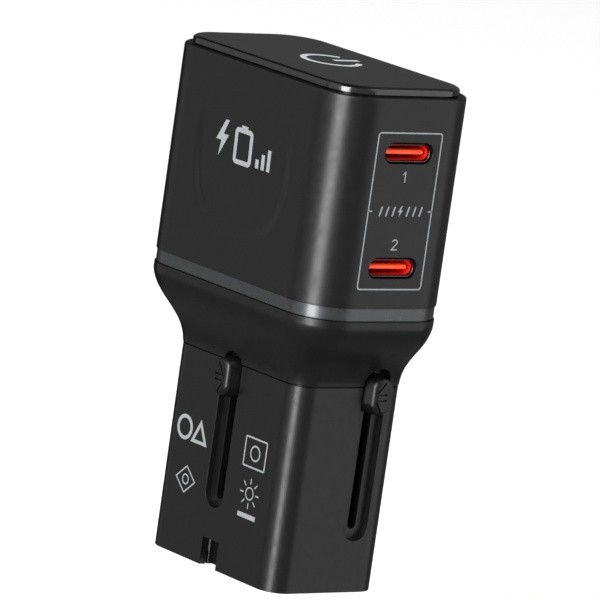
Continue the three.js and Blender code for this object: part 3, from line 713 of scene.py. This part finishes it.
def make_end_plate():
    foot = extent("end_plate")[0].z
    top = foot + END_PLATE["thickness"]
    rounding = END_PLATE["rounding"]
    inset = STEM_WALL + GAP
    profile = wall_profile(foot, top, rounding, rounding)
    plate = loft("end_disc", [on_axis("z", stem_outline(inset + step), z) for step, z in profile])
    edge_y = stem_low.y + inset
    edge_back = stem_low.y + NOTCH["depth"] + NOTCH["back_wall"]
    boss = box(
        "boss",
        (NOTCH["low"] - NOTCH["side_wall"], edge_y, foot),
        (NOTCH["high"] + NOTCH["side_wall"], edge_back, NOTCH["boss"]),
        rounding,
    )
    combine(plate, boss, "UNION")
    combine(plate, notch_cutter())
    edge_x, size = NOTCH["low"], NOTCH["chamfer"]
    corner = [(edge_x - size, edge_y), (edge_x, edge_y + size), (edge_x + size, edge_y)]
    ends = (-CLEAR, NOTCH["height"])
    combine(plate, loft("chamfer", [on_axis("z", corner, z) for z in ends]))
    for side in ("left", "right"):
        cut_blade_hole(plate, side, top)
        cut_pin_hole(plate, side, top)
    place(plate, "root", ["end_plate"], "casing_black")


# Sliders.
def stroke(points, width, steps=8):
    """Outline of a straight stroke with round ends, between two points."""
    (ax, ay), (bx, by) = points
    heading = math.atan2(by - ay, bx - ax)
    outline = []
    for (x, y), start in (((bx, by), heading - math.pi / 2), ((ax, ay), heading + math.pi / 2)):
        for step in range(steps + 1):
            angle = start + math.pi * step / steps
            outline.append((x + width / 2 * math.cos(angle), y + width / 2 * math.sin(angle)))
    return outline


def cut_grip(knob, axis, face, across_at, up_at, mirror):
    """Grip strokes in a knob's face. mirror is -1 where they are laid out the other way round."""
    outward = -1 if axis == "y" else 1
    for ends in GRIP_STROKES:
        points = [(across_at + across * mirror, up_at + up) for across, up in ends]
        outline = stroke(points, KNOB["stroke"])
        cutter = loft("grip", [
            on_axis(axis, outline, face - outward * KNOB["stroke_depth"]),
            on_axis(axis, outline, face + outward * CLEAR),
        ])
        combine(knob, cutter)


def make_knob(node, name, axis, track, body, mirror, shift, post):
    """Thumb knob, softer on the side that faces the stem's corner, with its post.

    mirror is 1 or -1 for the side the corner is on, shift moves the grip strokes sideways, and
    post gives the post's foot and top from the knob's middle.
    """
    low, high = extent(node)
    if axis == "y":
        outward, face, skin, inner = -1, low.y, stem_low.y, high.y
    else:
        outward, face, skin, inner = 1, high.x, stem_high.x, low.x
    back = skin - outward * (GROOVE_DEPTH - GAP)
    draft, rounding, foot_edge = KNOB["draft"], KNOB["rounding"], KNOB["foot_edge"]
    places = [(foot_edge, back), (0.0, back + outward * foot_edge), (0.0, skin)]
    for inset, drop in quarter_round(1.0, KNOB["edge_steps"]):
        places.append((draft + rounding * inset, face - outward * drop * KNOB["edge_height"]))
    flat = KNOB["foot_width"] / 2 - draft - rounding
    for share in CROWN_SHARES:
        places.append((draft + rounding + flat * share, face - outward * KNOB["crown"] * share))
    rings = []
    for inset, where in places:
        width = KNOB["foot_width"] - 2 * inset
        lean = mirror * KNOB["softer_side"] * min(inset, draft + rounding)
        outline = stadium(track["centre"] - lean, width, low.z + inset, high.z - inset)
        rings.append(on_axis(axis, outline, where))
    knob = loft(name, rings)
    centre_z = (low.z + high.z) / 2
    cut_grip(knob, axis, face, track["centre"] + shift, centre_z, mirror)
    half = KNOB["post_width"] / 2
    ends = sorted((inner, back + outward * POST_OVERLAP))
    corners = []
    for end, across, up in zip(ends, (-half, half), post):
        corners += on_axis(axis, [(track["centre"] + across, centre_z + up)], end)
    combine(knob, box("post", *corners, KNOB["post_edge"]), "UNION")
    place(knob, body, [node], "knob_black")


def make_blade(side):
    low, high = extent(f"blade_{side}")
    centre = ((low.x + high.x) / 2, (low.y + high.y) / 2)
    tip, inset, nose = BLADE["tip"], BLADE["nose_inset"], low.z + BLADE["nose"]
    rings = []
    for thinner, narrower, z in (
        (BLADE["tip_thinner"], tip, low.z), (tip, tip, low.z + BLADE["tip_edge"]),
        (inset, inset, nose), (0.0, 0.0, nose + BLADE["nose_edge"]), (0.0, 0.0, high.z),
    ):
        width, depth = high.x - low.x - 2 * thinner, high.y - low.y - 2 * narrower
        outline = rounded(width, depth, BLADE["corner"], centre, steps=4)
        rings.append(on_axis("z", outline, z))
    blade = loft(f"flat_blade_{side}", rings)
    reach = BLADE["hole_reach"]
    hole = turned("hole", [(BLADE["hole"], -reach), (BLADE["hole"], reach)])
    turn = Matrix.Translation(Vector((centre[0], centre[1], BLADE["hole_z"])) * MM)
    hole.data.transform(turn @ Matrix.Rotation(math.pi / 2, 4, "Y"))
    combine(blade, hole)
    place(blade, "front_slider", [f"blade_{side}"], "plated_contact")


def make_pin(side):
    """Round-nosed pin, thinner above its shoulder, where the insulating sleeve sits."""
    low, high = extent(f"pin_{side}")
    centre = ((low.x + high.x) / 2, (low.y + high.y) / 2)
    radius = (high.x - low.x) / 2
    shoulder, core, edge = PIN["shoulder"], PIN["core"], PIN["edge"]
    profile = [(PIN["tip"], low.z)]
    for step in range(1, PIN["nose_steps"] + 1):
        angle = step / PIN["nose_steps"] * math.pi / 2
        profile.append((radius * math.sin(angle), low.z + PIN["nose"] * (1 - math.cos(angle))))
    profile += [(radius, shoulder - edge), (radius - edge, shoulder)]
    profile += [(core, shoulder), (core, high.z)]
    pin = turned(f"round_pin_{side}", profile, centre)
    place(pin, "side_slider", [f"pin_{side}"], "plated_contact")


def make_pin_sleeve(side):
    low, high = extent(f"pin_sleeve_{side}")
    pin_low, pin_high = extent(f"pin_{side}")
    centre = ((pin_low.x + pin_high.x) / 2, (pin_low.y + pin_high.y) / 2)
    outer, bore, edge = (high.x - low.x) / 2, PIN_SLEEVE["bore"], PIN_SLEEVE["edge"]
    profile = [
        (bore, low.z), (outer - edge, low.z), (outer, low.z + edge),
        (outer, high.z - edge), (outer - edge, high.z), (bore, high.z),
    ]
    sleeve = turned(f"insulating_sleeve_{side}", profile, centre, loop=True)
    node = f"pin_sleeve_{side}"
    place(sleeve, "side_slider", [node], "inner_plastic", FINISH["chip_black"])


# Ports.
def slot_rings(sizes, profile, centre, corner=2, steps=ARC_STEPS):
    """Rings across the port's axis. Their corners' radius is their height divided by corner."""
    rings = []
    for inset, x in profile:
        width, height = sizes[0] - 2 * inset, sizes[1] - 2 * inset
        outline = rounded(width, height, height / corner, centre, steps=steps)
        rings.append(on_axis("x", outline, x))
    return rings


def make_port_tube(level, sizes, centre):
    """The steel tube, with a rounded mouth."""
    low, high = extent(f"port_shell_{level}")
    wall, edge, shoulder = PORT_TUBE["wall"], PORT_TUBE["edge"], PORT_TUBE["shoulder"]
    profile = [
        (0.0, low.x), (0.0, high.x - edge), (shoulder, high.x - shoulder), (edge, high.x),
        (PORT_TUBE["inner_shoulder"], high.x - shoulder), (wall, high.x - edge), (wall, low.x),
    ]
    tube = loft(f"port_tube_{level}", slot_rings(sizes, profile, centre), loop=True)
    place(tube, "root", [f"port_shell_{level}"], "port_steel")


def make_port_cup(level, sizes, centre):
    """The moulding inside the tube, with a low rim round its front."""
    low, high = extent(f"port_base_{level}")
    front = extent(f"port_shell_{level}")[1].x - PORT_CUP["depth"]
    crest, edge = PORT_CUP["crest"], PORT_CUP["edge"]
    profile = (
        (0.0, low.x), (0.0, front - edge), (crest, front), (2 * crest, front - edge),
        (PORT_CUP["wall"], high.x),
    )
    inner = [size - 2 * PORT_CUP["inset"] for size in sizes]
    cup = loft(f"port_block_{level}", slot_rings(inner, profile, centre))
    place(cup, "root", [f"port_base_{level}"], "inner_plastic", PORT_RED)


def make_port_tongue(level, centre):
    low, high = extent(f"port_tongue_{level}")
    sizes = (high.y - low.y, high.z - low.z)
    profile = (
        (0.0, low.x), (0.0, high.x - TONGUE["tip_depth"]),
        (TONGUE["shoulder"], high.x - TONGUE["shoulder_depth"]), (TONGUE["tip"], high.x),
    )
    rings = slot_rings(sizes, profile, centre, corner=3, steps=8)
    tongue = loft(f"port_tab_{level}", rings)
    place(tongue, "root", [f"port_tongue_{level}"], "tongue_orange")


def make_port_contacts(level, centre):
    """Gold contacts above and below the tongue."""
    low, high = extent(f"port_tongue_{level}")
    count = CONTACTS["per_side"]
    size = Vector((CONTACTS["length"], CONTACTS["width"], CONTACTS["height"])) * MM
    scale = Matrix.Diagonal((*size, 1.0))
    mesh = bmesh.new()
    for side in (-1, 1):
        z = centre[1] + side * (high.z - low.z) / 2
        for i in range(count):
            y = centre[0] + (i - (count - 1) / 2) * CONTACTS["pitch"]
            middle = Matrix.Translation(Vector((high.x - CONTACT_SETBACK, y, z)) * MM)
            bmesh.ops.create_cube(mesh, size=1.0, matrix=middle @ scale)
    contacts = as_object(f"port_contacts_{level}", mesh)
    place(contacts, "root", [], "plated_contact", GOLD)


def make_port(level):
    low, high = extent(f"port_shell_{level}")
    sizes = (high.y - low.y, high.z - low.z)
    centre = ((low.y + high.y) / 2, (low.z + high.z) / 2)
    make_port_tube(level, sizes, centre)
    make_port_cup(level, sizes, centre)
    make_port_tongue(level, centre)
    make_port_contacts(level, centre)


# Prints: thin inlays of generic marks.
INLAY = {"proud": 0.012, "sunk": 0.03}


class Print:
    """Marks printed on one flat face, drawn as strokes and filled shapes in the face's plane."""

    def __init__(self, name, axis, face, relief=None):
        self.name, self.axis, self.face = name, axis, face
        self.outward = -1 if axis == "y" else 1
        self.relief = relief
        self.mesh = bmesh.new()

    def _point(self, a, b, proud):
        level = self.face + self.outward * proud
        if self.relief:
            level -= self.outward * self.relief(a, b)
        if self.axis == "x":
            return Vector((level, a, b)) * MM
        if self.axis == "y":
            return Vector((a, level, b)) * MM
        return Vector((a, b, level)) * MM

    def fill(self, outline):
        """A filled polygon."""
        top = [self.mesh.verts.new(self._point(a, b, INLAY["proud"])) for a, b in outline]
        low = [self.mesh.verts.new(self._point(a, b, -INLAY["sunk"])) for a, b in outline]
        self.mesh.faces.new(top)
        self.mesh.faces.new(list(reversed(low)))
        for i, corner in enumerate(top):
            j = (i + 1) % len(top)
            self.mesh.faces.new((corner, low[i], low[j], top[j]))

    def line(self, points, width, closed=False):
        """A band of that width along a path, with mitred corners."""
        count = len(points)
        rows = []
        for i, (a, b) in enumerate(points):
            before = points[(i - 1) % count] if closed or i else points[i]
            after = points[(i + 1) % count] if closed or i < count - 1 else points[i]
            first = Vector((a - before[0], b - before[1]))
            second = Vector((after[0] - a, after[1] - b))
            first = first.normalized() if first.length else second.normalized()
            second = second.normalized() if second.length else first
            normal = Vector((-(first.y + second.y), first.x + second.x)).normalized()
            reach = width / 2 / max(normal.dot(Vector((-first.y, first.x))), 0.3)
            row = []
            for side, proud in ((1, "proud"), (-1, "proud"), (-1, "sunk"), (1, "sunk")):
                height = INLAY[proud] * (1 if proud == "proud" else -1)
                x, y = a + normal.x * reach * side, b + normal.y * reach * side
                row.append(self.mesh.verts.new(self._point(x, y, height)))
            rows.append(row)
        pairs = list(zip(rows, rows[1:]))
        if closed:
            pairs.append((rows[-1], rows[0]))
        else:
            self.mesh.faces.new(rows[0])
            self.mesh.faces.new(rows[-1])
        for here, there in pairs:
            for i in range(4):
                j = (i + 1) % 4
                self.mesh.faces.new((here[i], here[j], there[j], there[i]))

    def ring(self, centre, radius, width, start=0.0, end=360.0, steps=40):
        """An arc, or a whole ring, of that line width."""
        whole = end - start >= 360
        count = steps if whole else steps + 1
        points = []
        for i in range(count):
            angle = math.radians(start + (end - start) * i / steps)
            x, y = radius * math.cos(angle), radius * math.sin(angle)
            points.append((centre[0] + x, centre[1] + y))
        self.line(points, width, closed=whole)

    def finish(self, ink=INK):
        made = as_object(self.name, self.mesh)
        place(made, "root", [], "accent_grey", ink)


def bolt(centre, height):
    """Outline of a lightning bolt of that height."""
    unit = height / 10
    shape = ((0.9, 5), (-2.6, -0.7), (-0.3, -0.7), (-1.1, -5), (2.7, 1.1), (0.4, 1.1), (2.4, 5))
    return [(centre[0] + x * unit, centre[1] + y * unit) for x, y in shape]


def make_front_print():
    """Power mark on the head's front: a bolt, a battery outline and three small bars."""
    mark = Print("print_power", "y", head_low.y, dish_depth)
    mark.fill(bolt((-5.8, 67.5), 5.9))
    cell = rounded(3.9, 5.0, 0.5, (-0.3, 67.1), sides=(8, 8), steps=4)
    mark.line(cell, 0.75, closed=True)
    mark.line([(-1.1, 70.1), (-0.3, 70.1), (0.5, 70.1)], 0.6)
    for index, height in enumerate((1.4, 2.4, 3.4)):
        x = 3.6 + index * 1.45
        mark.line([(x, 64.6), (x, 64.6 + height / 2), (x, 64.6 + height)], 0.8)
    mark.finish()


def make_stem_prints():
    """Small generic marks on the stem's front."""
    mark = Print("print_stem", "y", stem_low.y)
    mark.ring((-10.6, 20.1), 1.72, 0.6)
    mark.line([(-8.3, 18.5), (-4.9, 18.5), (-6.6, 21.6)], 0.55, closed=True)
    square = (7.95, 20.3)
    mark.line(rounded(5.4, 4.6, 0.2, square, steps=3), 0.26, closed=True)
    mark.ring(square, 1.15, 0.26)
    mark.line([(-8.65, 14.2), (-11.1, 12.1), (-8.65, 10.0), (-6.2, 12.1)], 0.22, closed=True)
    mark.ring((-8.65, 12.1), 0.75, 0.22)
    sun_x, sun_z = 7.9, 13.9
    mark.ring((sun_x, sun_z), 0.95, 0.2)
    for turn in range(8):
        across, up = math.cos(math.radians(45 * turn)), math.sin(math.radians(45 * turn))
        mark.line([(sun_x + far * across, sun_z + far * up) for far in (1.5, 2.4)], 0.2)
    mark.line([(5.6, 10.3), (10.1, 10.3)], 0.75)
    mark.finish()


def make_port_prints():
    """Frame round the ports, their numbers, and a bolt between dashes."""
    mark = Print("print_ports", "x", head_high.x)
    middle = 62.3
    mark.line(rounded(12.4, 24.5, 0.5, (-0.15, middle), steps=5), 0.22, closed=True)
    mark.line([(-6.4, middle), (-5.6, middle)], 0.22)
    mark.line([(5.3, middle), (6.1, middle)], 0.22)
    mark.line([(-0.55, 68.05), (-0.1, 68.4), (-0.1, 66.85)], 0.2)
    angles = [math.radians(a) for a in range(20, 200, 20)]
    bowl = [(-0.3 - 0.5 * math.cos(angle), 57.35 + 0.5 * math.sin(angle)) for angle in angles]
    mark.line(bowl + [(-0.8, 56.3), (0.3, 56.3)], 0.2)
    mark.fill(bolt((-0.1, middle), 1.75))
    for side in (-1, 1):
        for index in range(3):
            y = side * (1.4 + index * 1.25)
            mark.line([(y - 0.2, middle - 0.75), (y + 0.2, middle + 0.75)], 0.28)
    mark.finish()


def make_cover_print():
    """Power symbol on the cover."""
    mark = Print("print_cover", "z", cover_high.z)
    mark.ring((0.0, 1.0), 4.4, 1.0, 125, 415)
    mark.line([(0.0, 1.6), (0.0, 6.4)], 1.0)
    mark.finish(COVER_INK)


make_cover()
make_head()
make_band()
make_neck()
make_sleeve()
make_end_plate()
make_knob("front_knob", "front_thumb", "y", FRONT_TRACK, "front_slider", 1, -0.2, FRONT_POST)
make_knob("side_knob", "side_thumb", "x", SIDE_TRACK, "side_slider", -1, -0.33, SIDE_POST)
for side in ("left", "right"):
    make_blade(side)
    make_pin(side)
    make_pin_sleeve(side)
for level in ("lower", "upper"):
    make_port(level)
make_front_print()
make_stem_prints()
make_port_prints()
make_cover_print()


# Stage: floor, lights and camera.
def make_floor():
    mesh = bmesh.new()
    level = Matrix.Translation((0.0, 0.0, -FLOOR_DROP * MM))
    bmesh.ops.create_grid(mesh, x_segments=2, y_segments=2, size=6.0, matrix=level)
    floor = as_object("floor", mesh)
    floor.data.materials.append(surface("paper", (0.98, 0.98, 0.98, 1.0), 0.9, mottle=0.0))
    floor.visible_glossy = False
    floor.visible_shadow = False


def direction(azimuth, elevation):
    """Unit vector from the object towards a place at that azimuth and elevation."""
    a, e = math.radians(azimuth), math.radians(elevation)
    return Vector((math.sin(a) * math.cos(e), -math.cos(a) * math.cos(e), math.sin(e)))


def area_light(name, azimuth, elevation, distance, size, power):
    """A soft panel that faces the object."""
    back = direction(azimuth, elevation)
    data = bpy.data.lights.new(name, "AREA")
    data.shape = "RECTANGLE"
    data.size, data.size_y = size
    data.energy = power
    light = bpy.data.objects.new(name, data)
    bpy.context.scene.collection.objects.link(light)
    light.location = Vector(LIGHT_AIM) + back * distance
    light.rotation_euler = back.to_track_quat("Z", "Y").to_euler()


def make_lights():
    """The panels, in an even white surround that glossy surfaces don't reflect."""
    world = bpy.data.worlds.new("studio")
    world.use_nodes = True
    background = world.node_tree.nodes["Background"]
    background.inputs["Color"].default_value = (1.0, 1.0, 1.0, 1.0)
    background.inputs["Strength"].default_value = WORLD_STRENGTH
    world.cycles_visibility.glossy = False
    bpy.context.scene.world = world
    for name, settings in LIGHTS.items():
        area_light(name, *settings)


def make_camera():
    azimuth, roll = math.radians(CAMERA["azimuth"]), math.radians(CAMERA["roll"])
    back = direction(CAMERA["azimuth"], CAMERA["elevation"])
    right = Vector((math.cos(azimuth), math.sin(azimuth), 0.0))
    up = back.cross(right)
    rolled_right = right * math.cos(roll) + up * math.sin(roll)
    rolled_up = up * math.cos(roll) - right * math.sin(roll)
    data = bpy.data.cameras.new("camera")
    data.lens = CAMERA["lens"]
    data.sensor_width = CAMERA["sensor"]
    data.clip_start, data.clip_end = 0.05, 50.0
    camera = bpy.data.objects.new("camera", data)
    bpy.context.scene.collection.objects.link(camera)
    rotation = Matrix((rolled_right, rolled_up, back)).transposed().to_4x4()
    location = (Vector(CAMERA["aim"]) + back * CAMERA["distance"]) * MM
    camera.matrix_world = Matrix.Translation(location) @ rotation
    bpy.context.scene.camera = camera


make_floor()
make_lights()
make_camera()
bpy.context.scene.view_settings.view_transform = "Standard"
